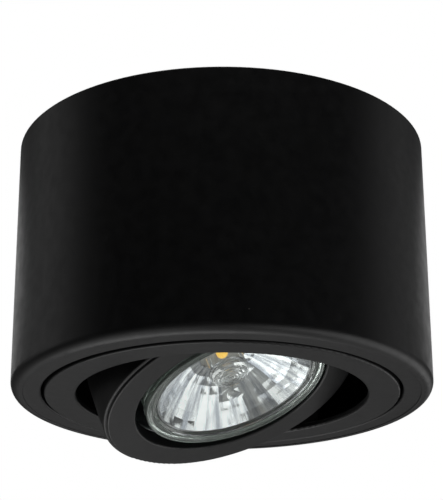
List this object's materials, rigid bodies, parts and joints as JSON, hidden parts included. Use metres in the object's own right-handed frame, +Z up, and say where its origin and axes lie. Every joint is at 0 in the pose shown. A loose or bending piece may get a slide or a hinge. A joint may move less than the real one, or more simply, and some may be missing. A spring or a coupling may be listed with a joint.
{
  "type": "surface mounted ceiling spotlight",
  "caption": "Round surface mounted ceiling spotlight: a matt black drum whose mouth holds a swivel ring with a tilting lamp head.",
  "frame": {"origin": "middle of the ceiling face, where the drum's axis meets the ceiling", "axes": "+Z up into the ceiling along the drum's axis; +X along the line of the two ceiling screws, to the right in the picture; the picture looks from -Y and below"},
  "size_m": [0.112, 0.112, 0.0821],
  "materials": {
    "powder_black": "fine matt powder coat",
    "zinc_steel": "bright zinc plate",
    "screw_black": "blackened steel",
    "spring_steel": "polished spring strip",
    "grommet_rubber": "matt",
    "nylon_natural": "moulded",
    "brass": "turned",
    "steatite": "unglazed ceramic",
    "pressed_glass": "pressed, faint green tint",
    "mirror_coating": "vacuum aluminised facets",
    "clear_glass": "polished",
    "clear_acrylic": "moulded rings",
    "phosphor": "phosphor gel",
    "white_board": "white solder mask",
    "lamp_base_plastic": "moulded",
    "nickel_pin": "nickel plate"
  },
  "bodies": {
    "drum": {"housing_drum": "powder_black", "ceiling_plate": "zinc_steel", "drum_screws": "screw_black", "cable_grommet": "grommet_rubber", "terminal_block": "nylon_natural", "terminal_barrels": "brass", "terminal_screws": "zinc_steel", "block_screws": "zinc_steel", "earth_screw": "brass", "earth_washer": "zinc_steel"},
    "swivel": {"pan_ring": "powder_black", "retaining_clips": "spring_steel", "clip_rivets": "zinc_steel", "pivot_washers": "spring_steel"},
    "head": {"tilt_ring": "powder_black", "pivot_screws": "screw_black", "lamp_bracket": "zinc_steel", "bracket_screws": "zinc_steel", "lampholder_body": "steatite", "lampholder_cover": "steatite", "lampholder_contacts": "brass", "lampholder_screws": "zinc_steel", "lamp_envelope": "pressed_glass", "lamp_reflector": "mirror_coating", "lamp_front_glass": "clear_glass", "lamp_lens": "clear_acrylic", "led_emitter": "phosphor", "led_board": "white_board", "lamp_base": "lamp_base_plastic", "lamp_pins": "nickel_pin"}
  },
  "joints": [
    {"name": "swivel_turn", "type": "hinge", "parent": "drum", "child": "swivel", "pos_m": [0, 0, -0.0697], "axis": [0, 0, 1], "range_deg": [-175, 175]},
    {"name": "head_tilt", "type": "hinge", "parent": "swivel", "child": "head", "pos_m": [0, 0, -0.0608], "axis": [-0.575, -0.8181, 0], "range_deg": [-52.7, 7.3]}
  ]
}
